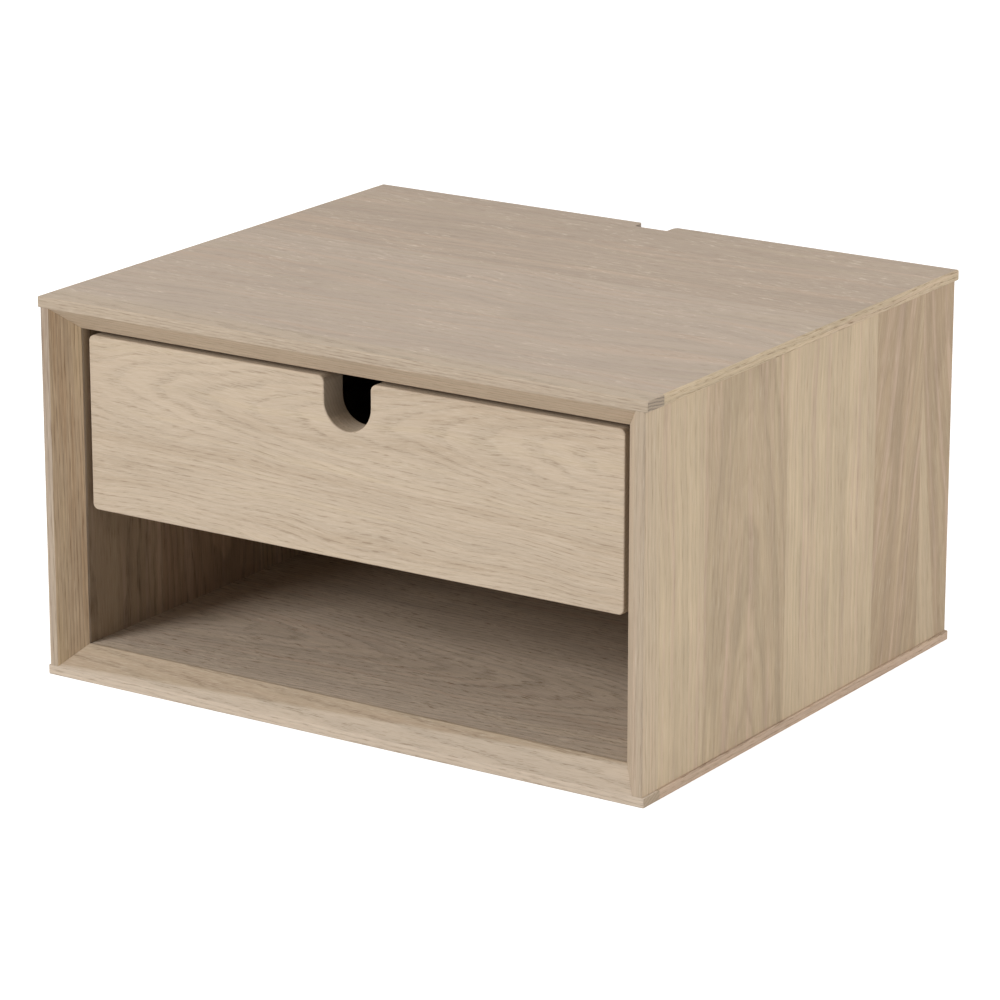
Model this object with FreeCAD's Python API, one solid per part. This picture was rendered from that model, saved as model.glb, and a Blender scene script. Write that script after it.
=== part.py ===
import FreeCAD, Part
import math
import os

from FreeCAD import Vector

# A wall-hung nightstand: a box of oak boards, bevelled inwards round its front, that holds one
# drawer on ball-bearing slides over an open shelf. Millimetres. +X is to the right, +Y to the
# wall and +Z up. The origin is the centre of the footprint, at the underside; the front faces -Y.

# Whole carcass
WIDTH = 450.0
DEPTH = 380.0
HEIGHT = 250.0
SIDE_THICKNESS = 20.0
TOP_THICKNESS = 21.0
BOTTOM_THICKNESS = 20.0
TOP_LIP = 7.0  # height of the top's edge, which laps over the side panels
BOTTOM_LIP = 6.5
TOP_OVERHANG = 2.0  # how far the top stands out beyond the outside of each side panel
BOTTOM_OVERHANG = 1.5
SIDE_SETBACK = 1.5  # the side panels stop this far short of the wall
FACE_WIDTH = 6.5  # flat front edge of a side panel, before its bevel
BEVEL_DEPTH = 16.0
LIPPING_DEPTH = 18.0  # solid front edge of each board
SIDE_LIPPING = 1.5  # edge band along each side of the top and the bottom
ARRIS = 1.0  # rounding of the carcass's outer edges

# Back
BACK_THICKNESS = 8.0
BACK_GROOVE = 5.0
RAIL_THICKNESS = 20.0
RAIL_HEIGHT = 65.0
CABLE_NOTCH_WIDTH = 25.0
CABLE_NOTCH_DEPTH = 12.0
CABLE_NOTCH_ARRIS = 5.0
WALL_SCREW_SPACING = 300.0
WALL_HOLE_RADIUS = 3.25

# Drawer
FRONT_GAP = 4.3  # between the drawer front and each side panel
FRONT_THICKNESS = 20.0
FRONT_RECESS = 1.7  # behind the inner edge of the bevels
FRONT_BOTTOM = 110.5
FRONT_TOP = 225.0
FRONT_CORNER = 4.0
FRONT_ARRIS = 1.0
FINGER_WIDTH = 34.5
FINGER_DEPTH = 32.6
FINGER_CORNER = 4.5
BOX_THICKNESS = 12.0
BOX_LOW = 120.0
BOX_HIGH = 209.0
BOX_REAR = 150.0
BOX_ARRIS = 1.5
PLY_THICKNESS = 5.0
PLY_GROOVE = 5.0
PLY_LIFT = 8.0  # height of the drawer bottom above the box sides' lower edge

# Slides: distances across start at the side panel's inner face, heights at the slide's centre line
SLIDE_LENGTH = 300.0
SLIDE_WIDTH = 12.7
SLIDE_CENTRE = 160.0
STEEL = 1.2
CABINET_MEMBER_HALF, CABINET_MEMBER_REACH, CABINET_MEMBER_LIP = 22.5, 9.9, 1.2
MIDDLE_MEMBER_HALF, MIDDLE_MEMBER_WEB, MIDDLE_MEMBER_REACH = 16.5, 3.2, 11.0
DRAWER_MEMBER_HALF, DRAWER_MEMBER_REACH = 10.7, 6.5
CAGE_STEEL = 0.8
CAGE_LENGTH = 140.0
OUTER_CAGE_INNER, OUTER_CAGE_WEB, OUTER_CAGE_REACH = 18.5, 1.8, 8.0
INNER_CAGE_INNER, INNER_CAGE_WEB, INNER_CAGE_REACH = 12.6, 5.2, 10.5
BALLS_PER_ROW = 7
BALL_PITCH = 20.0
BALL_PLAY = 0.15
OUTER_BALL_RADIUS, OUTER_BALL_ACROSS, OUTER_BALL_HEIGHT = 2.3, 6.0, 18.9
INNER_BALL_RADIUS, INNER_BALL_ACROSS, INNER_BALL_HEIGHT = 2.2, 8.0, 13.0
CABINET_SCREWS_AT = (-120.0, 0.0, 120.0)
DRAWER_SCREWS_AT = (-110.0, 20.0, 130.0)
SCREW_RADIUS = 1.75
SCREW_HEAD_RADIUS = 3.5
PAN_HEAD_HEIGHT = 2.0
SCREW_DEPTH = 10.0
DRIVE_RADIUS = 0.9
DRIVE_DEPTH = 1.0

# Dowels
DOWEL_RADIUS = 3.0
DOWEL_LENGTH = 26.0
DRAWER_DOWEL_LENGTH = 18.0
DOWEL_CHAMFER = 0.6
HOLE_END_ROOM = 1.0
HOLE_PLAY = 0.1
BOARD_DOWELS_AT = (-140.0, 0.0, 140.0)
RAIL_DOWELS_IN = 16.0  # from the rail's upper and lower edges
FRONT_DOWELS_AT = (140.0, 168.5, 197.0)
BACK_DOWELS_AT = (144.0, 189.0)

# Worked out from the above
FRONT = -DEPTH / 2
WALL = DEPTH / 2
OUTSIDE = WIDTH / 2 - TOP_OVERHANG  # outer face of a side panel
INSIDE = OUTSIDE - SIDE_THICKNESS
CEILING = HEIGHT - TOP_THICKNESS
FLOOR = BOTTOM_THICKNESS
BEHIND_LIPPING = FRONT + LIPPING_DEPTH
SIDE_REAR = WALL - SIDE_SETBACK
BACK_REAR = WALL - RAIL_THICKNESS
BACK_FACE = BACK_REAR - BACK_THICKNESS
RAIL_LOW = CEILING - RAIL_HEIGHT
RAIL_MIDDLE = CEILING - RAIL_HEIGHT / 2
FRONT_FACE = FRONT + BEVEL_DEPTH + FRONT_RECESS
FRONT_REAR = FRONT_FACE + FRONT_THICKNESS
BOX_OUTSIDE = INSIDE - SLIDE_WIDTH
BOX_INSIDE = BOX_OUTSIDE - BOX_THICKNESS
PLY_LOW = BOX_LOW + PLY_LIFT
TOP_DOWEL_HEIGHT = (CEILING + HEIGHT - TOP_LIP) / 2
BOTTOM_DOWEL_HEIGHT = (BOTTOM_LIP + FLOOR) / 2


# Shapes used throughout

def block(x, y, z):
    """A block between two limits on each axis."""
    return Part.makeBox(x[1] - x[0], y[1] - y[0], z[1] - z[0], Vector(x[0], y[0], z[0]))


def rod(radius, start, end):
    """A cylinder from one point to another."""
    along = Vector(*end) - Vector(*start)
    return Part.makeCylinder(radius, along.Length, Vector(*start), along)


def rectangle(half_width, low, high):
    return [(-half_width, low), (half_width, low), (half_width, high), (-half_width, high)]


def outline_wire(outline, y):
    """A closed upright outline of (x, z) points, at one depth."""
    corners = [Vector(x, y, z) for x, z in outline]
    return Part.makePolygon(corners + corners[:1])


def plate(outline, front, rear):
    """An upright outline of (x, z) points, given a thickness along Y."""
    return Part.Face(outline_wire(outline, front)).extrude(Vector(0, rear - front, 0))


def rounded_outline(corners, y):
    """A closed upright outline of right-angled (x, z, radius) corners, at one depth."""
    arcs = []
    for number, (x, z, radius) in enumerate(corners):
        corner = Vector(x, y, z)
        last, following = corners[number - 1], corners[(number + 1) % len(corners)]
        back = (Vector(last[0], y, last[1]) - corner).normalize() * radius
        on = (Vector(following[0], y, following[1]) - corner).normalize() * radius
        arcs.append((corner + back, corner + (back + on) * (1 - math.sqrt(0.5)), corner + on))
    edges = []
    for arc, following in zip(arcs, arcs[1:] + arcs[:1]):
        edges.append(Part.Arc(*arc).toShape())
        if arc[2].distanceToPoint(following[0]) > 0.001:
            edges.append(Part.LineSegment(arc[2], following[0]).toShape())
    return Part.Wire(edges)


def mirrored(shape):
    """The same piece on the other side of the nightstand."""
    return shape.mirror(Vector(0, 0, 0), Vector(1, 0, 0))


def cut(shape, tools):
    return shape.cut(Part.makeCompound(tools))


def joined(shapes):
    return shapes[0].multiFuse(shapes[1:]).removeSplitter()


def edges_on(shape, **planes):
    """The edges that lie in every one of the planes given, such as y=0."""
    found = []
    for edge in shape.Edges:
        corners = [corner.Point for corner in edge.Vertexes]
        if all(abs(getattr(corner, axis) - at) < 0.01 for corner in corners for axis, at in planes.items()):
            found.append(edge)
    return found


def dowel(middle, along, length):
    """A dowel pin with chamfered ends, centred on a point."""
    reach = Vector(*along) * (length / 2)
    pin = rod(DOWEL_RADIUS, Vector(*middle) - reach, Vector(*middle) + reach)
    return pin.makeChamfer(DOWEL_CHAMFER, [edge for edge in pin.Edges if isinstance(edge.Curve, Part.Circle)])


def dowel_hole(middle, along, length):
    reach = Vector(*along) * (length / 2 + HOLE_END_ROOM)
    return rod(DOWEL_RADIUS + HOLE_PLAY, Vector(*middle) - reach, Vector(*middle) + reach)


def pins(places):
    return Part.makeCompound([dowel(*place) for place in places])


def holes(places):
    return [dowel_hole(*place) for place in places]


# Places of the dowels, as (middle, direction, length)

def board_dowels(height):
    return [((x, y, height), (1, 0, 0), DOWEL_LENGTH) for y in BOARD_DOWELS_AT for x in (-INSIDE, INSIDE)]


def rail_dowels():
    middle = WALL - RAIL_THICKNESS / 2
    heights = (RAIL_LOW + RAIL_DOWELS_IN, CEILING - RAIL_DOWELS_IN)
    return [((x, middle, z), (1, 0, 0), DOWEL_LENGTH) for z in heights for x in (-INSIDE, INSIDE)]


def drawer_front_dowels():
    middle = BOX_OUTSIDE - BOX_THICKNESS / 2
    length = DOWEL_LENGTH - 2
    return [((x, FRONT_REAR, z), (0, 1, 0), length) for z in FRONT_DOWELS_AT for x in (-middle, middle)]


def drawer_back_dowels():
    middle = BOX_REAR - BOX_THICKNESS / 2
    return [((x, middle, z), (1, 0, 0), DRAWER_DOWEL_LENGTH)
            for z in BACK_DOWELS_AT for x in (-BOX_INSIDE, BOX_INSIDE)]


# Carcass

def front_opening():
    """The splayed opening that bevels the front edges of all four boards."""
    mouth = outline_wire(rectangle(OUTSIDE - FACE_WIDTH, BOTTOM_LIP, HEIGHT - TOP_LIP), FRONT)
    throat = outline_wire(rectangle(INSIDE, FLOOR, CEILING), FRONT + BEVEL_DEPTH)
    return Part.makeLoft([mouth, throat], True, True)


def cable_notch(low, high):
    """The cutter for a cable notch in a rear edge, with its two outer corners rounded off."""
    half = CABLE_NOTCH_WIDTH / 2
    radius = CABLE_NOTCH_ARRIS
    slot = block((-half, half), (WALL - CABLE_NOTCH_DEPTH, WALL), (low, high))
    flare = block((-half - radius, half + radius), (WALL - radius, WALL), (low, high))
    rounds = [rod(radius, (x, WALL - radius, low), (x, WALL - radius, high))
              for x in (-half - radius, half + radius)]
    return joined([slot, cut(flare, rounds)])


def lip_plate(half_width, low, high, crease):
    """The full-width layer of the top or the bottom, rounded along every edge but its front crease."""
    layer = block((-half_width, half_width), (FRONT, WALL), (low, high))
    sharp = edges_on(layer, y=FRONT, z=crease)[0]
    return layer.makeFillet(ARRIS, [edge for edge in layer.Edges if not edge.isSame(sharp)])


def mitred_wedge(face_height, inner_height):
    """The part of a front lipping between the two mitres at its ends."""
    outer = OUTSIDE - FACE_WIDTH
    outline = [(-outer, face_height), (outer, face_height), (INSIDE, inner_height), (-INSIDE, inner_height)]
    return plate(outline, FRONT, BEHIND_LIPPING)


def level_board(half_width, face_height, inner_height, outer_height, opening):
    """The top or the bottom in one piece: its lip, its mitred front and its core between the sides."""
    lip = lip_plate(half_width, min(face_height, outer_height), max(face_height, outer_height), face_height)
    core = block((-INSIDE, INSIDE), (BEHIND_LIPPING, WALL), sorted((inner_height, face_height)))
    board = joined([lip, mitred_wedge(face_height, inner_height), core])
    return cut(board, [opening, cable_notch(*sorted((inner_height, outer_height)))])


def split_level_board(board, name, half_width):
    """The board's panel and its three lippings."""
    span = half_width + 1
    front = block((-span, span), (FRONT - 1, BEHIND_LIPPING), (-1, HEIGHT + 1))
    right = block((half_width - SIDE_LIPPING, span), (BEHIND_LIPPING, WALL + 1), (-1, HEIGHT + 1))
    middle = block((SIDE_LIPPING - half_width, half_width - SIDE_LIPPING), (BEHIND_LIPPING, WALL + 1),
                   (-1, HEIGHT + 1))
    return {
        f"{name}_panel": board.common(middle),
        f"{name}_front_lipping": board.common(front),
        f"{name}_right_lipping": board.common(right),
        f"{name}_left_lipping": board.common(mirrored(right)),
    }


def back_space():
    """The back panel's own shape, which is also its grooves in the four boards."""
    reach = INSIDE + BACK_GROOVE
    return block((-reach, reach), (BACK_FACE, BACK_REAR), (FLOOR - BACK_GROOVE, CEILING + BACK_GROOVE))


def wall_holes():
    return [
        rod(WALL_HOLE_RADIUS, (x, BACK_FACE - 1, RAIL_MIDDLE), (x, WALL + 1, RAIL_MIDDLE))
        for x in (-WALL_SCREW_SPACING / 2, WALL_SCREW_SPACING / 2)
    ]


def top_parts(opening):
    board = level_board(WIDTH / 2, HEIGHT - TOP_LIP, CEILING, HEIGHT, opening)
    board = cut(board, [back_space()] + holes(board_dowels(TOP_DOWEL_HEIGHT)))
    return split_level_board(board, "top", WIDTH / 2)


def bottom_parts(opening):
    half_width = OUTSIDE + BOTTOM_OVERHANG
    board = level_board(half_width, BOTTOM_LIP, FLOOR, 0.0, opening)
    board = cut(board, [back_space()] + holes(board_dowels(BOTTOM_DOWEL_HEIGHT)))
    return split_level_board(board, "bottom", half_width)


def right_side_parts(opening):
    """The right side panel and its front lipping, mitred between the lips of the top and the bottom."""
    low, high = BOTTOM_LIP, HEIGHT - TOP_LIP
    face = OUTSIDE - FACE_WIDTH
    outline = [(OUTSIDE, low), (OUTSIDE, high), (face, high), (INSIDE, CEILING), (INSIDE, FLOOR), (face, low)]
    lipping = plate(outline, FRONT, BEHIND_LIPPING).cut(opening)
    lipping = lipping.makeFillet(ARRIS, edges_on(lipping, x=OUTSIDE, y=FRONT))
    panel = block((INSIDE, OUTSIDE), (BEHIND_LIPPING, SIDE_REAR), (low, high))
    panel = panel.makeFillet(ARRIS, edges_on(panel, x=OUTSIDE, y=SIDE_REAR))
    drilled = board_dowels(TOP_DOWEL_HEIGHT) + board_dowels(BOTTOM_DOWEL_HEIGHT) + rail_dowels()
    shanks = [screw_hole(INSIDE, y, 1) for y in CABINET_SCREWS_AT]
    panel = cut(panel, [back_space()] + holes(drilled) + shanks)
    return {"side_panel": panel, "front_lipping": lipping}


def back_panel():
    return cut(back_space(), wall_holes())


def hanging_rail():
    """The rail that the wall screws pass through, with a channel for the cable down its middle."""
    rail = block((-INSIDE, INSIDE), (BACK_REAR, WALL), (RAIL_LOW, CEILING))
    channel = block((-CABLE_NOTCH_WIDTH / 2, CABLE_NOTCH_WIDTH / 2), (WALL - CABLE_NOTCH_DEPTH, WALL),
                    (RAIL_LOW, CEILING))
    return cut(rail, [channel] + wall_holes() + holes(rail_dowels()))


# Drawer

def drawer_front():
    """The drawer front: a board with rounded corners and a U-shaped finger notch, open at the top."""
    half, finger = INSIDE - FRONT_GAP, FINGER_WIDTH / 2
    notch_low = FRONT_TOP - FINGER_DEPTH
    outline = rounded_outline([
        (-half, FRONT_BOTTOM, FRONT_CORNER), (half, FRONT_BOTTOM, FRONT_CORNER),
        (half, FRONT_TOP, FRONT_CORNER), (finger, FRONT_TOP, FINGER_CORNER), (finger, notch_low, finger),
        (-finger, notch_low, finger), (-finger, FRONT_TOP, FINGER_CORNER), (-half, FRONT_TOP, FRONT_CORNER),
    ], FRONT_FACE)
    board = Part.Face(outline).extrude(Vector(0, FRONT_THICKNESS, 0))
    board = board.makeFillet(FRONT_ARRIS, edges_on(board, y=FRONT_FACE))
    return cut(board, [drawer_bottom()] + holes(drawer_front_dowels()))


def drawer_bottom():
    reach = BOX_INSIDE + PLY_GROOVE
    rear = BOX_REAR - BOX_THICKNESS + PLY_GROOVE
    return block((-reach, reach), (FRONT_REAR - PLY_GROOVE, rear), (PLY_LOW, PLY_LOW + PLY_THICKNESS))


def drawer_right_side():
    side = block((BOX_INSIDE, BOX_OUTSIDE), (FRONT_REAR, BOX_REAR), (BOX_LOW, BOX_HIGH))
    top_edges = edges_on(side, x=BOX_INSIDE, z=BOX_HIGH) + edges_on(side, x=BOX_OUTSIDE, z=BOX_HIGH)
    side = side.makeFillet(BOX_ARRIS, top_edges)
    shanks = [screw_hole(BOX_OUTSIDE, y, -1) for y in DRAWER_SCREWS_AT]
    return cut(side, [drawer_bottom()] + holes(drawer_front_dowels() + drawer_back_dowels()) + shanks)


def drawer_back():
    back = block((-BOX_INSIDE, BOX_INSIDE), (BOX_REAR - BOX_THICKNESS, BOX_REAR), (BOX_LOW, BOX_HIGH))
    return cut(back, [drawer_bottom()] + holes(drawer_back_dowels()))


# Slides, modelled on the right-hand side

def across(distance):
    """The X of a distance measured inwards from the right side panel's inner face."""
    return INSIDE - distance


def slide_block(near, far, half_length, low, high):
    """A block between two distances across and two heights above the slide's centre line."""
    heights = sorted((SLIDE_CENTRE + low, SLIDE_CENTRE + high))
    return block(sorted((across(near), across(far))), (-half_length, half_length), heights)


def channel(web, web_thickness, half, flange, reach, half_length, lip=0.0):
    """A rolled channel: a web, two flanges, and a lip turned back from each flange's edge."""
    parts = [slide_block(web, web + web_thickness, half_length, -half, half)]
    for side in (-1, 1):
        parts.append(slide_block(web, reach, half_length, side * half, side * (half - flange)))
        if lip:
            inner = half - flange - lip
            parts.append(slide_block(reach - flange, reach, half_length, side * half, side * inner))
    return joined(parts)


def ball_places(distance, height):
    places = []
    for number in range(BALLS_PER_ROW):
        y = (number - (BALLS_PER_ROW - 1) / 2) * BALL_PITCH
        places += [(across(distance), y, SLIDE_CENTRE + side * height) for side in (-1, 1)]
    return places


def balls(radius, places):
    return Part.makeCompound([Part.makeSphere(radius, Vector(*place)) for place in places])


def ball_cage(web, inner, reach, places, ball_radius):
    """A thin channel with a pocket for each ball."""
    cage = channel(web, CAGE_STEEL, inner + CAGE_STEEL, CAGE_STEEL, reach, CAGE_LENGTH / 2)
    depth = 2 * CAGE_STEEL
    pocket_radius = ball_radius + BALL_PLAY
    return cut(cage, [rod(pocket_radius, (x, y, z - depth), (x, y, z + depth)) for x, y, z in places])


def across_rod(radius, near, far, y):
    """A rod across the slide at its centre line, between two distances."""
    return rod(radius, (across(near), y, SLIDE_CENTRE), (across(far), y, SLIDE_CENTRE))


def screw_hole(face, y, towards):
    """A screw's hole into a board from one of its faces."""
    tip = face + towards * (SCREW_DEPTH + HOLE_END_ROOM)
    return rod(SCREW_RADIUS + HOLE_PLAY, (face, y, SLIDE_CENTRE), (tip, y, SLIDE_CENTRE))


def countersink(y):
    face = Vector(across(STEEL), y, SLIDE_CENTRE)
    return Part.makeCone(SCREW_HEAD_RADIUS, SCREW_RADIUS, STEEL, face, Vector(1, 0, 0))


def countersunk_screw(y):
    """A screw through the cabinet member into the side panel, with its head flush in the web."""
    screw = joined([countersink(y), across_rod(SCREW_RADIUS, STEEL, -SCREW_DEPTH, y)])
    return screw.cut(across_rod(DRIVE_RADIUS, STEEL, STEEL - DRIVE_DEPTH, y))


def pan_head_screw(y):
    """A screw through the drawer member into the drawer side, with a low round head."""
    web = SLIDE_WIDTH - STEEL
    top = web - PAN_HEAD_HEIGHT
    head = across_rod(SCREW_HEAD_RADIUS, web, top, y)
    head = head.makeFillet(PAN_HEAD_HEIGHT / 2, edges_on(head, x=across(top)))
    screw = joined([head, across_rod(SCREW_RADIUS, web, SLIDE_WIDTH + SCREW_DEPTH, y)])
    return screw.cut(across_rod(DRIVE_RADIUS, top, top + DRIVE_DEPTH, y))


def right_slide():
    """The pieces of a full-extension ball-bearing slide and its screws."""
    half = SLIDE_LENGTH / 2
    outer_places = ball_places(OUTER_BALL_ACROSS, OUTER_BALL_HEIGHT)
    inner_places = ball_places(INNER_BALL_ACROSS, INNER_BALL_HEIGHT)
    cabinet = channel(0.0, STEEL, CABINET_MEMBER_HALF, STEEL, CABINET_MEMBER_REACH, half, CABINET_MEMBER_LIP)
    drawer = channel(SLIDE_WIDTH, -STEEL, DRAWER_MEMBER_HALF, STEEL, DRAWER_MEMBER_REACH, half)
    bore_radius = SCREW_RADIUS + HOLE_PLAY
    bores = [across_rod(bore_radius, DRAWER_MEMBER_REACH, SLIDE_WIDTH + 1, y) for y in DRAWER_SCREWS_AT]
    return {
        "cabinet_member": cut(cabinet, [countersink(y) for y in CABINET_SCREWS_AT]),
        "middle_member": channel(
            MIDDLE_MEMBER_WEB, STEEL, MIDDLE_MEMBER_HALF, STEEL, MIDDLE_MEMBER_REACH, half),
        "drawer_member": cut(drawer, bores),
        "outer_ball_cage": ball_cage(
            OUTER_CAGE_WEB, OUTER_CAGE_INNER, OUTER_CAGE_REACH, outer_places, OUTER_BALL_RADIUS),
        "outer_balls": balls(OUTER_BALL_RADIUS, outer_places),
        "inner_ball_cage": ball_cage(
            INNER_CAGE_WEB, INNER_CAGE_INNER, INNER_CAGE_REACH, inner_places, INNER_BALL_RADIUS),
        "inner_balls": balls(INNER_BALL_RADIUS, inner_places),
        "cabinet_member_screws": Part.makeCompound([countersunk_screw(y) for y in CABINET_SCREWS_AT]),
        "drawer_member_screws": Part.makeCompound([pan_head_screw(y) for y in DRAWER_SCREWS_AT]),
    }


# The whole nightstand

def left_and_right(parts):
    """Each piece of the right-hand side, and its mirror image on the left."""
    named = {}
    for name, shape in parts.items():
        named[f"right_{name}"] = shape
        named[f"left_{name}"] = mirrored(shape)
    return named


def nightstand():
    opening = front_opening()
    parts = {}
    parts.update(top_parts(opening))
    parts.update(bottom_parts(opening))
    parts.update(left_and_right(right_side_parts(opening)))
    parts["back_panel"] = back_panel()
    parts["hanging_rail"] = hanging_rail()
    parts["top_joint_dowels"] = pins(board_dowels(TOP_DOWEL_HEIGHT))
    parts["bottom_joint_dowels"] = pins(board_dowels(BOTTOM_DOWEL_HEIGHT))
    parts["rail_dowels"] = pins(rail_dowels())
    parts["drawer_front"] = drawer_front()
    parts["drawer_right_side"] = drawer_right_side()
    parts["drawer_left_side"] = mirrored(drawer_right_side())
    parts["drawer_back"] = drawer_back()
    parts["drawer_bottom"] = drawer_bottom()
    parts["drawer_front_dowels"] = pins(drawer_front_dowels())
    parts["drawer_back_dowels"] = pins(drawer_back_dowels())
    parts.update(left_and_right({f"slide_{name}": shape for name, shape in right_slide().items()}))
    return parts


os.makedirs("parts", exist_ok=True)
for name, shape in nightstand().items():
    shape.exportStep(f"parts/{name}.step")
    print(name, len(shape.Solids), round(shape.Volume), "valid" if shape.isValid() else "INVALID")
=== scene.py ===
import math
from collections import namedtuple
from functools import partial, reduce

import bpy
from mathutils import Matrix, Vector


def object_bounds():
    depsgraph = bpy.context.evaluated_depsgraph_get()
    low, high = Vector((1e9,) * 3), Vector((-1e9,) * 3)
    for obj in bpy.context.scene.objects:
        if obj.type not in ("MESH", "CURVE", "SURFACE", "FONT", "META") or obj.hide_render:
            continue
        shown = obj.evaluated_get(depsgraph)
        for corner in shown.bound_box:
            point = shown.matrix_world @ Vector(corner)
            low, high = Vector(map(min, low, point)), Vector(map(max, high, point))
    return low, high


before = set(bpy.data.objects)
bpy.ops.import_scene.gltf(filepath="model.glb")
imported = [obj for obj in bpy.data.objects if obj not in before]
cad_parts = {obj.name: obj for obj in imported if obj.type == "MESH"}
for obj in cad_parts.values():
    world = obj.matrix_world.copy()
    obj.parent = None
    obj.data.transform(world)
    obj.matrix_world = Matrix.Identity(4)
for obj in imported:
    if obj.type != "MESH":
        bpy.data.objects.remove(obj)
cad_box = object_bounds()

# A wall-hung nightstand in white-pigmented oak: one drawer on ball-bearing slides over an open shelf.
# Lengths in the shaders are millimetres, and each oak shader works in the coordinates of its board:
# along the grain, across it and through it. Places and sizes in the scene are in metres.

X, Y, Z = 0, 1, 2
MM = 0.001

# Tones of the oak boards and of the streaks in them, as linear colours
CREAM = (0.524, 0.423, 0.318)
GREIGE = (0.434, 0.348, 0.274)
STRAW = (0.510, 0.399, 0.268)
ROSE = (0.500, 0.366, 0.268)
TAUPE = (0.402, 0.317, 0.244)
SAND = (0.455, 0.364, 0.273)
# CHALK is the pale wedge of the bottom lipping: painted light on its front face, paler towards the right on
# its bevel.
CHALK = (0.620, 0.515, 0.410)
TAWNY = (0.420, 0.332, 0.255)
# RUSSET and BROWN make the left side darker than its oak, as painted shade for its inner face. RUSSET is
# also the tone of the left lipping's streaks.
UMBER = (0.422, 0.322, 0.213)
RUSSET = (0.370, 0.255, 0.168)
BROWN = (0.390, 0.285, 0.190)
PALE = (0.640, 0.545, 0.430)
HONEY = (0.550, 0.440, 0.290)
ASH = (0.545, 0.446, 0.353)
BLUSH = (0.456, 0.361, 0.264)
TAN = (0.393, 0.288, 0.187)
WHEAT = (0.452, 0.352, 0.252)
STAIN = (0.50, 0.43, 0.35)  # multiplies the wood's own tone in its pores

# Lengths of trunk, in millimetres, that lie between the pieces cut from it
SEED_SPACING = 731.0
STAVE_SPACING = 413.0

# Camera
VIEW_FROM = (1.5595, -2.3654, 0.9566)
VIEW_AZIMUTH = 33.44
VIEW_ELEVATION = 16.71
LENS = 165.6
SENSOR = 36.0
FAR_CLIP = 200.0

# Lamps, as (name, place, width, height, watts), and the even light from all round
LAMPS = [
    ("front_lamp", (-1.8, -4.3, 2.3), 1.9, 1.7, 181.5),
    ("overhead_lamp", (0.0, 0.2, 2.7), 1.6, 1.6, 16.2),
    ("right_lamp", (3.0, 0.5, 1.2), 1.3, 1.3, 50.0),
]
SKY_LIGHT = 0.33

# Floor
WHITE = (1.0, 1.0, 1.0)
FLOOR_SIZE = 60.0
FLOOR_GREY = (0.70, 0.70, 0.70)  # what the floor reflects onto the nightstand
SEEN_GREY = (0.60, 0.60, 0.60)  # what the camera sees, with the glow added
SEEN_GLOW = 0.78


# Node trees

class Shader:
    """The node tree of a material or world, with short ways to add nodes to it."""

    def __init__(self, owner):
        self.owner = owner
        owner.use_nodes = True
        self.tree = owner.node_tree
        self.tree.nodes.clear()

    def put(self, socket, value):
        """Links an output to a socket, or sets the socket to a number or a colour."""
        if isinstance(value, bpy.types.NodeSocket):
            self.tree.links.new(value, socket)
        elif isinstance(value, tuple) and socket.type == "RGBA" and len(value) == 3:
            socket.default_value = (*value, 1.0)
        else:
            socket.default_value = value

    def add(self, kind, inputs, output=0, **settings):
        """A node with its settings and inputs, given by name or number. Returns one of its outputs."""
        node = self.tree.nodes.new("ShaderNode" + kind)
        for name, value in settings.items():
            setattr(node, name, value)
        for name, value in inputs.items():
            self.put(node.inputs[name], value)
        return node.outputs[output] if node.outputs else None

    def maths(self, operation, *values):
        return self.add("Math", dict(enumerate(values)), operation=operation)

    def plus(self, *values):
        return reduce(partial(self.maths, "ADD"), values)

    def times(self, *values):
        return reduce(partial(self.maths, "MULTIPLY"), values)

    def split(self, vector):
        """The three components of a vector."""
        node = self.tree.nodes.new("ShaderNodeSeparateXYZ")
        self.put(node.inputs[0], vector)
        return node.outputs

    def vector(self, x, y, z):
        return self.add("CombineXYZ", {0: x, 1: y, 2: z})

    def stretched_noise(self, grain, frequencies, detail=2.0, roughness=0.5):
        """Noise with its own number of waves per millimetre along, across and through the grain."""
        scaled = [self.times(length, frequency) for length, frequency in zip(grain, frequencies)]
        inputs = {"Vector": self.vector(*scaled), "Scale": 1.0, "Detail": detail, "Roughness": roughness}
        return self.add("TexNoise", inputs, output="Fac")

    def step(self, value, low, high, out_low=0.0, out_high=1.0):
        """A smooth step of the value from low to high."""
        inputs = {"Value": value, "From Min": low, "From Max": high, "To Min": out_low, "To Max": out_high}
        return self.add("MapRange", inputs, interpolation_type="SMOOTHSTEP")

    def mix(self, factor, a, b, blend="MIX"):
        inputs = {0: factor, 6: a, 7: b}
        return self.add("Mix", inputs, output=2, data_type="RGBA", blend_type=blend)

    def brighten(self, colour, amount):
        """The colour times a grey amount."""
        grey = self.vector(amount, amount, amount)
        return self.mix(1.0, colour, grey, blend="MULTIPLY")

    def principled(self, **inputs):
        """Gives the material its surface, and returns the material."""
        self.add("OutputMaterial", {"Surface": self.add("BsdfPrincipled", inputs)})
        return self.owner


def new_material(name):
    """The node tree of a material of its own."""
    return Shader(bpy.data.materials.new(name))


# Oak

# A stave reaches across its board as far as edge, and the last one to the board's own edge
Stave = namedtuple("Stave", "edge tone heart depth lean slant", defaults=(0.0,))


def board_coordinates(shader, axes, seed):
    """Millimetres along, across and through the grain: as they are, and shifted to a stretch of tree."""
    place = shader.split(shader.add("TexCoord", {}, output="Object"))
    plain = [shader.times(place[axis], 1 / MM) for axis in axes]
    return plain, [shader.plus(plain[0], seed * SEED_SPACING), plain[1], plain[2]]


def end_grain(shader, along_axis):
    """1 on faces cut across the grain, 0 on faces along it."""
    normal = shader.split(shader.add("TexCoord", {}, output="Normal"))
    return shader.step(shader.maths("ABSOLUTE", normal[along_axis]), 0.72, 0.82)


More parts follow.
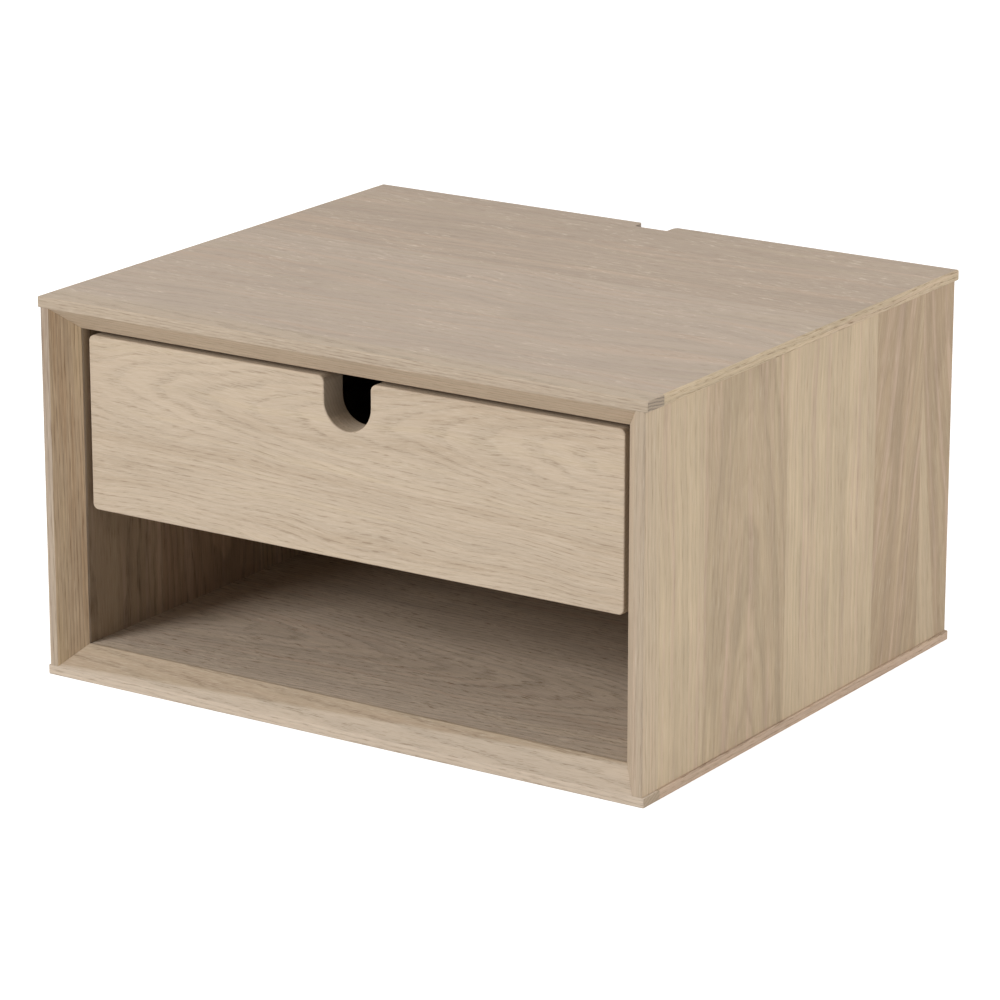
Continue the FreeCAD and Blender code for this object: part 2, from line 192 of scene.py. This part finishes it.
def faces_towards(shader, direction):
    """1 on faces that look in a direction, 0 on others: the mask for light or shade painted on faces by the
    way they turn.
    """
    normal = shader.add("TexCoord", {}, output="Normal")
    match = shader.add("VectorMath", {0: normal, 1: direction}, output="Value", operation="DOT_PRODUCT")
    return shader.step(match, 0.95, 0.98)


def beyond(shader, across, staves):
    """For each stave but the first, 1 past the joint before it and 0 short of it."""
    return [shader.maths("GREATER_THAN", across, stave.edge) for stave in staves[:-1]]


def stave_number(shader, past, staves, field):
    """A number that changes from stave to stave."""
    values = [getattr(stave, field) for stave in staves]
    total = values[0]
    for step, before, after in zip(past, values, values[1:]):
        if after != before:
            total = shader.plus(total, shader.times(step, after - before))
    return total


def stave_tone(shader, past, staves):
    """The tone of each stave."""
    colour = staves[0].tone
    for step, stave in zip(past, staves[1:]):
        colour = shader.mix(step, colour, stave.tone)
    return colour


def growth(shader, plain, board, grain, past, staves, ring):
    """Years' growth, by the distance from the heart of the tree: how far into the spring wood a point
    is, and a tone that changes from year to year."""
    along, across, through = board
    aside = shader.maths("SUBTRACT", grain[1], stave_number(shader, past, staves, "heart"))
    rise = shader.times(plain[0], stave_number(shader, past, staves, "lean"))
    under = shader.plus(through, rise, stave_number(shader, past, staves, "depth"))
    distance = shader.maths("SQRT", shader.plus(shader.times(aside, aside), shader.times(under, under)))
    ripple = shader.stretched_noise(grain, (0.035, 0.14, 0.14))
    distance = shader.plus(distance, shader.times(ripple, 0.9 * ring))
    year = shader.maths("FRACT", shader.times(distance, 1 / ring))
    spring = shader.times(shader.step(year, 0.0, 0.12), shader.step(year, 0.60, 0.15))
    return spring, shader.stretched_noise((distance, along, across), (0.9 / ring, 0.004, 0.004))


def rays(shader, colour, board, blotch, pale, dark):
    """The colour with pale and dark rays, which lie at a slight angle and crowd in some places."""
    along, across, through = board
    leaning = (along, shader.plus(across, shader.times(along, 0.15)), through)
    ray = shader.stretched_noise(leaning, (0.09, 0.34, 0.3), detail=3.0, roughness=0.65)
    crowds = shader.step(blotch, 0.44, 0.60, 0.12, 1.0)
    colour = shader.mix(shader.times(shader.step(ray, 0.55, 0.70), crowds, pale), colour, PALE)
    dark_rays = shader.times(shader.step(ray, 0.46, 0.30), crowds, dark)
    return shader.mix(dark_rays, colour, STAIN, blend="MULTIPLY")


def pale_wedge(shader, plain, side, tip, spread):
    """A pale wedge that starts at its tip, has one straight side and widens down the board."""
    width = shader.times(shader.maths("SUBTRACT", tip, plain[0]), spread)
    from_side = shader.plus(plain[1], -side)
    inside = shader.step(shader.maths("SUBTRACT", width, from_side), -0.6, 1.6)
    return shader.times(inside, shader.step(from_side, -0.2, 0.2), 0.8)


def oak(name, axes, seed, staves, ring=4.5, wander=5.0, warm=ROSE, streak=0.4, years=0.05, tones=0.10,
        fibre=0.14, pores=0.5, pale=0.35, flecks=None, paling=None, facing=None, ends=0.86, open_ends=0.34,
        pore_length=9.0):
    """A board of oak, as staves side by side. axes are the ones along, across and through its grain,
    and seed picks the stretch of tree. The middle of a stave's tree runs at heart across the board and
    -depth through it, leaning through it by lean along the board, and slant is how fast its fibres
    drift across the board.

    ring is the width of a year's growth and wander how far the fibres stray across the board. warm is
    the tone of the streaks, which are as strong as streak. years, tones and fibre are how much the
    spring wood, the blotches and the single fibres change the brightness. pores and pale are how strong
    the dark and the pale dashes are, and pore_length is how long. flecks is how strong the pale and
    the dark rays are. sap is the tone, straight side, tip and spread of a pale wedge, which on the
    bottom lipping is painted light on its front face and pales its bevel towards the right. facing is a
    direction and what multiplies the colour of the faces that look that way: painted light or shade,
    lighter or darker by the way a face turns. ends is the brightness of end grain and open_ends how much
    its spring wood darkens it."""
    shader = new_material(name)
    plain, (along, across, through) = board_coordinates(shader, axes, seed)
    past = beyond(shader, across, staves)
    for step in past:
        along = shader.plus(along, shader.times(step, STAVE_SPACING))
    board = (along, across, through)
    drift = shader.times(stave_number(shader, past, staves, "slant"), plain[0])
    bend = shader.stretched_noise(board, (0.007, 0.02, 0.02), detail=1.5)
    curved = shader.plus(across, shader.times(shader.plus(bend, -0.5), 2.0 * wander), drift)
    grain = (along, curved, through)
    spring, year_tone = growth(shader, plain, board, grain, past, staves, ring)

    # The stave's tone, slow streaks, years and fibres
    colour = stave_tone(shader, past, staves)
    slow = shader.stretched_noise(grain, (0.004, 0.13, 0.13), detail=3.0, roughness=0.65)
    colour = shader.mix(shader.step(slow, 0.50, 0.68, 0.0, streak), colour, warm)
    colour = shader.mix(shader.step(slow, 0.50, 0.32, 0.0, 0.4 * streak), colour, HONEY)
    # A pale wedge mixed in. On the bottom lipping it is painted light on the front face, and pales the bevel
    # more towards the right.
    if paling:
        pale_tone, *wedge = paling
        colour = shader.mix(pale_wedge(shader, plain, *wedge), colour, pale_tone)
    blotch = shader.stretched_noise(grain, (0.02, 0.05, 0.05))
    fine = shader.stretched_noise(grain, (0.03, 1.3, 1.3), detail=3.0, roughness=0.7)
    light = shader.plus(
        1.0,
        shader.times(shader.plus(blotch, -0.5), tones),
        shader.times(shader.plus(year_tone, -0.5), 1.6 * tones),
        shader.times(shader.plus(fine, -0.5), fibre),
        shader.times(spring, -years),
    )
    colour = shader.brighten(colour, light)

    # Pores are short dark dashes, most of them in the spring wood, with pale dashes between them
    dashes = shader.stretched_noise(grain, (1 / pore_length, 2.0, 2.0), roughness=0.55)
    crowding = shader.plus(0.35, shader.times(spring, 0.65))
    pore = shader.times(shader.step(dashes, 0.53, 0.64), crowding)
    colour = shader.mix(shader.times(pore, pores), colour, STAIN, blend="MULTIPLY")
    pale_dashes = shader.step(dashes, 0.44, 0.30)
    colour = shader.mix(shader.times(pale_dashes, pale), colour, PALE)
    if flecks:
        colour = rays(shader, colour, board, blotch, *flecks)
    # Painted light and shade: faces that look one way have their colour multiplied, lighter or darker, in
    # place of the light that falls on them.
    if facing:
        direction, tint = facing
        colour = shader.mix(faces_towards(shader, direction), colour, tint, blend="MULTIPLY")

    # Ends are darker, with every year and pore open
    cut = end_grain(shader, axes[0])
    open_pores = shader.stretched_noise(grain, (0.2, 1.3, 1.3))
    end_light = shader.plus(ends + 0.12, shader.times(open_pores, -0.24), shader.times(spring, -open_ends))
    colour = shader.mix(cut, colour, shader.brighten(staves[0].tone, end_light))

    height = shader.plus(shader.times(pore, -0.6), shader.times(fine, 0.3), shader.times(spring, -0.15))
    rounded = shader.add("Bevel", {"Radius": 0.5 * MM}, samples=4)
    bump = shader.add("Bump", {"Strength": 0.3, "Distance": 0.1 * MM, "Height": height, "Normal": rounded})
    roughness = shader.plus(0.52, shader.times(fine, 0.12), shader.times(pore, 0.15), shader.times(cut, 0.1))
    return shader.principled(**{"Base Color": colour, "Roughness": roughness, "Normal": bump,
                                "Specular IOR Level": 0.2})


# Other materials

def beech(name):
    """The beech of the dowels, with small dark flecks."""
    shader = new_material(name)
    _, grain = board_coordinates(shader, (X, Y, Z), seed=3.0)
    fibre = shader.stretched_noise(grain, (0.05, 1.5, 1.5), detail=3.0)
    fleck = shader.step(shader.stretched_noise(grain, (0.6, 2.5, 2.5)), 0.62, 0.7)
    colour = shader.mix(fibre, (0.62, 0.44, 0.28), (0.50, 0.33, 0.20))
    colour = shader.mix(shader.times(fleck, 0.4), colour, (0.36, 0.22, 0.13))
    bump = shader.add("Bump", {"Strength": 0.3, "Distance": 0.1 * MM, "Height": fibre})
    return shader.principled(**{"Base Color": colour, "Roughness": 0.6, "Normal": bump})


def zinc(name, shade, roughness, brushed_along):
    """Zinc-plated steel: a faint spangle under fine marks drawn along one axis."""
    shader = new_material(name)
    frequencies = [6.0, 6.0, 6.0]
    frequencies[brushed_along] = 0.08
    _, grain = board_coordinates(shader, (X, Y, Z), seed=5.0)
    marks = shader.stretched_noise(grain, frequencies, detail=3.0, roughness=0.6)
    spangle = shader.stretched_noise(grain, (0.35, 0.35, 0.35))
    light = shader.plus(0.86, shader.times(marks, 0.14), shader.times(spangle, 0.12))
    colour = shader.brighten(shade, light)
    roughness = shader.plus(roughness, shader.times(marks, 0.14), shader.times(spangle, 0.10))
    bump = shader.add("Bump", {"Strength": 0.15, "Distance": 0.05 * MM, "Height": marks})
    return shader.principled(**{"Base Color": colour, "Metallic": 1.0, "Roughness": roughness,
                                "Normal": bump})


# Boards

def one_board(tone, heart, depth, lean=0.02):
    """The staves of a board that isn't glued up."""
    return [Stave(None, tone, heart, depth, lean)]


def wood_of_each_node():
    """The oak material of every board, by node."""
    top = oak("oak_top", (X, Y, Z), 1.0, [
        Stave(37.0, GREIGE, -60.0, -190.0, 0.05), Stave(None, TAUPE, 150.0, -200.0, 0.03),
    ], ring=5.0, wander=14.0, streak=0.45, years=0.02, tones=0.16, fibre=0.22, pores=0.25, pale=0.15,
        flecks=(0.62, 0.20))
    front = oak("oak_drawer_front", (X, Z, Y), 2.0, [Stave(None, CREAM, 199.0, 202.0, -0.08)], ring=2.8,
                wander=12.0, warm=WHEAT, streak=0.60, years=0.065, tones=0.13, fibre=0.18, pores=0.45,
                pale=0.35, ends=0.78, open_ends=0.08)
    floor = oak("oak_bottom", (X, Y, Z), 3.0, [
        Stave(60.0, ASH, -90.0, 25.0, 0.10), Stave(None, ASH, 100.0, 30.0, -0.08),
    ], ring=3.6, wander=12.0, streak=0.45, years=0.12, tones=0.24, fibre=0.80, pores=1.0, pale=0.35,
        flecks=(0.9, 0.7))
    right = oak("oak_right_side", (Z, Y, X), 4.0, [
        Stave(-121.0, STRAW, -230.0, -133.0, 0.02),
        Stave(-24.0, UMBER, -68.0, -196.0, 0.09),
        Stave(87.0, STRAW, 150.0, -133.0, 0.02),
        Stave(148.0, TAN, 60.0, -163.0, 0.05, -0.18),
        Stave(None, TAN, 210.0, -163.0, 0.05, 0.14),
    ], ring=3.4, wander=7.0, streak=0.72, years=0.055, tones=0.27, fibre=0.38, pores=0.30, pale=0.30,
        paling=(STRAW, 148.0, 195.0, 0.135), pore_length=15.0)
    # The left side's BROWN and RUSSET staves are painted shade for its inner face, which looks into the
    # shelf. Its facing tint multiplies the outer face, which looks left, back up to the oak's own tone.
    left = oak("oak_left_side", (Z, Y, X), 9.0, [
        Stave(-96.0, BROWN, -150.0, 143.0, 0.02),
        Stave(10.0, RUSSET, -30.0, 143.0, 0.08),
        Stave(104.0, BROWN, 160.0, 143.0, 0.02),
        Stave(None, RUSSET, 60.0, 143.0, 0.05, -0.10),
    ], wander=3.0, streak=0.60, years=0.16, tones=0.28, fibre=0.50, pores=0.8, pale=0.08,
        facing=((-1.0, 0.0, 0.0), (1.28, 1.34, 1.34)), pore_length=15.0)
    # Its bevel, which looks forward and down, is multiplied lighter by the facing tint: painted light.
    top_lip = oak("oak_top_lipping", (X, Y, Z), 6.0, one_board(SAND, -201.0, -100.0), ring=2.0, wander=1.5,
                  streak=0.25, years=0.10, tones=0.12, fibre=0.30, pores=0.45,
                  facing=((0.0, -0.66, -0.75), (1.13, 1.10, 1.05)), ends=0.79, open_ends=0.34)
    # The bottom lipping's pale wedge lightens its front face as painted light and pales its bevel more
    # towards the right. Its facing tint darkens the bevel, which looks forward and up, as painted shade.
    bottom_lip = oak("oak_bottom_lipping", (X, Y, Z), 7.0, one_board(WHEAT, -105.0, 140.0), ring=2.4,
                     wander=3.0, streak=0.25, years=0.10, tones=0.10, fibre=0.26, pores=0.6,
                     paling=(CHALK, -191.0, -300.0, -0.033),
                     facing=((0.0, -0.65, 0.76), (0.93, 0.93, 0.92)), ends=0.90, open_ends=0.15)
    # Its bevel, which looks right and forward, is multiplied lighter and warmer by the facing tint: painted
    # light.
    upright = oak("oak_left_lipping", (Z, X, Y), 8.0, one_board(TAWNY, -160.0, 120.0), ring=2.2,
                  wander=1.5, warm=RUSSET, streak=0.70, years=0.14, tones=0.22, fibre=0.42, pores=0.7,
                  facing=((0.76, -0.65, 0.0), (1.12, 1.04, 0.89)), pore_length=20.0)
    # Its faces that look right, towards the right lamp, are multiplied lighter by the facing tint: painted
    # light.
    upright_right = oak("oak_right_lipping", (Z, X, Y), 5.0, one_board(BLUSH, 160.0, 120.0), ring=2.6,
                        wander=1.5, streak=0.4, years=0.08, tones=0.12, fibre=0.24, pores=0.4,
                        facing=((1.0, 0.0, 0.0), (1.10, 1.09, 1.04)), pore_length=20.0)
    band = oak("oak_side_band", (Y, Z, X), 10.0, one_board(STRAW, -500.0, 0.0), ring=3.2, wander=4.0,
               streak=0.5, years=0.12, tones=0.24, fibre=0.50, pores=0.9)
    low_band = oak("oak_bottom_band", (Y, Z, X), 16.0, one_board(ROSE, -500.0, 0.0), ring=3.2, wander=4.0,
                   streak=0.4, years=0.12, tones=0.24, fibre=0.50, pores=0.8)
    back = oak("oak_back", (X, Z, Y), 11.0, one_board(GREIGE, 90.0, -110.0, 0.06), wander=8.0)
    rail = oak("oak_rail", (X, Z, Y), 12.0, one_board(STRAW, 120.0, -110.0))
    box_side = oak("oak_drawer_sides", (Y, Z, X), 13.0, one_board(CREAM, 60.0, 0.0))
    box_back = oak("oak_drawer_back", (X, Z, Y), 14.0, one_board(CREAM, 60.0, -90.0))
    ply = oak("oak_drawer_bottom", (X, Y, Z), 15.0, one_board(CREAM, 0.0, -68.0, 0.05))
    return {
        "top_panel": top, "top_front_lipping": top_lip, "top_left_lipping": band, "top_right_lipping": band,
        "bottom_panel": floor, "bottom_front_lipping": bottom_lip,
        "bottom_left_lipping": low_band, "bottom_right_lipping": low_band,
        "left_side_panel": left, "left_front_lipping": upright,
        "right_side_panel": right, "right_front_lipping": upright_right,
        "back_panel": back, "hanging_rail": rail,
        "drawer_front": front, "drawer_left_side": box_side, "drawer_right_side": box_side,
        "drawer_back": box_back, "drawer_bottom": ply,
    }


def metal_of_each_node():
    """The metal of every piece of the two drawer slides, by node."""
    channel = zinc("zinc_channel", (0.46, 0.47, 0.49), roughness=0.34, brushed_along=Y)
    cage = zinc("zinc_cage", (0.38, 0.39, 0.41), roughness=0.38, brushed_along=Y)
    screw = zinc("zinc_screw", (0.50, 0.49, 0.46), roughness=0.32, brushed_along=X)
    ball = zinc("ball_steel", (0.78, 0.78, 0.80), roughness=0.08, brushed_along=X)
    kinds = {
        "cabinet_member": channel, "middle_member": channel, "drawer_member": channel,
        "outer_ball_cage": cage, "inner_ball_cage": cage, "outer_balls": ball, "inner_balls": ball,
        "cabinet_member_screws": screw, "drawer_member_screws": screw,
    }
    return {f"{side}_slide_{kind}": metal for side in ("left", "right") for kind, metal in kinds.items()}


def dress(materials):
    """Puts each node's material in every slot of its mesh."""
    for node, material in materials.items():
        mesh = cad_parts[node].data
        for slot in range(len(mesh.materials)):
            mesh.materials[slot] = material


# Stage

def seen(shader):
    """1 for what the camera sees, itself or in metal and glass, and 0 for what lights the object."""
    path = shader.add("LightPath", {}).node.outputs
    return reduce(partial(shader.maths, "MAXIMUM"),
                  [path[f"Is {kind} Ray"] for kind in ("Camera", "Glossy", "Transmission")])


def ground():
    """A pale floor that the camera and reflections see as white, and that holds the object's shadow."""
    bpy.ops.mesh.primitive_plane_add(size=FLOOR_SIZE, location=(0, 0, 0))
    floor = bpy.context.object
    floor.name = "floor"
    shader = new_material("floor")
    paper = shader.add("BsdfDiffuse", {"Color": FLOOR_GREY})
    white = shader.add("BsdfDiffuse", {"Color": SEEN_GREY})
    glow = shader.add("Emission", {"Color": WHITE, "Strength": SEEN_GLOW})
    lit = shader.add("AddShader", {0: white, 1: glow})
    surface = shader.add("MixShader", {0: seen(shader), 1: paper, 2: lit})
    shader.add("OutputMaterial", {"Surface": surface})
    floor.data.materials.append(shader.owner)


def sky():
    """Even white light from all round, which the camera and reflections see as plain white."""
    world = bpy.data.worlds.new("sky")
    bpy.context.scene.world = world
    shader = Shader(world)
    light = shader.add("Background", {"Color": WHITE, "Strength": SKY_LIGHT})
    white = shader.add("Background", {"Color": WHITE, "Strength": 1.0})
    shader.add("OutputWorld", {"Surface": shader.add("MixShader", {0: seen(shader), 1: light, 2: white})})


def softbox(name, place, width, height, watts):
    """A rectangular lamp aimed at the middle of the nightstand."""
    data = bpy.data.lights.new(name, "AREA")
    data.shape = "RECTANGLE"
    data.size = width
    data.size_y = height
    data.energy = watts
    lamp = bpy.data.objects.new(name, data)
    lamp.location = place
    low, high = cad_box
    aim = (low + high) / 2 - lamp.location
    lamp.rotation_euler = aim.to_track_quat("-Z", "Y").to_euler()
    bpy.context.scene.collection.objects.link(lamp)


def camera():
    """The camera, at the photograph's viewing angle."""
    data = bpy.data.cameras.new("camera")
    data.lens = LENS
    data.sensor_width = SENSOR
    data.clip_end = FAR_CLIP
    eye = bpy.data.objects.new("camera", data)
    eye.location = VIEW_FROM
    eye.rotation_euler = (math.radians(90.0 - VIEW_ELEVATION), 0.0, math.radians(VIEW_AZIMUTH))
    bpy.context.scene.collection.objects.link(eye)
    bpy.context.scene.camera = eye


dress(wood_of_each_node())
dress(metal_of_each_node())
dowel_wood = beech("beech_dowel")
dress({node: dowel_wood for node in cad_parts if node.endswith("dowels")})
ground()
sky()
for lamp in LAMPS:
    softbox(*lamp)
camera()
bpy.context.scene.view_settings.view_transform = "Standard"
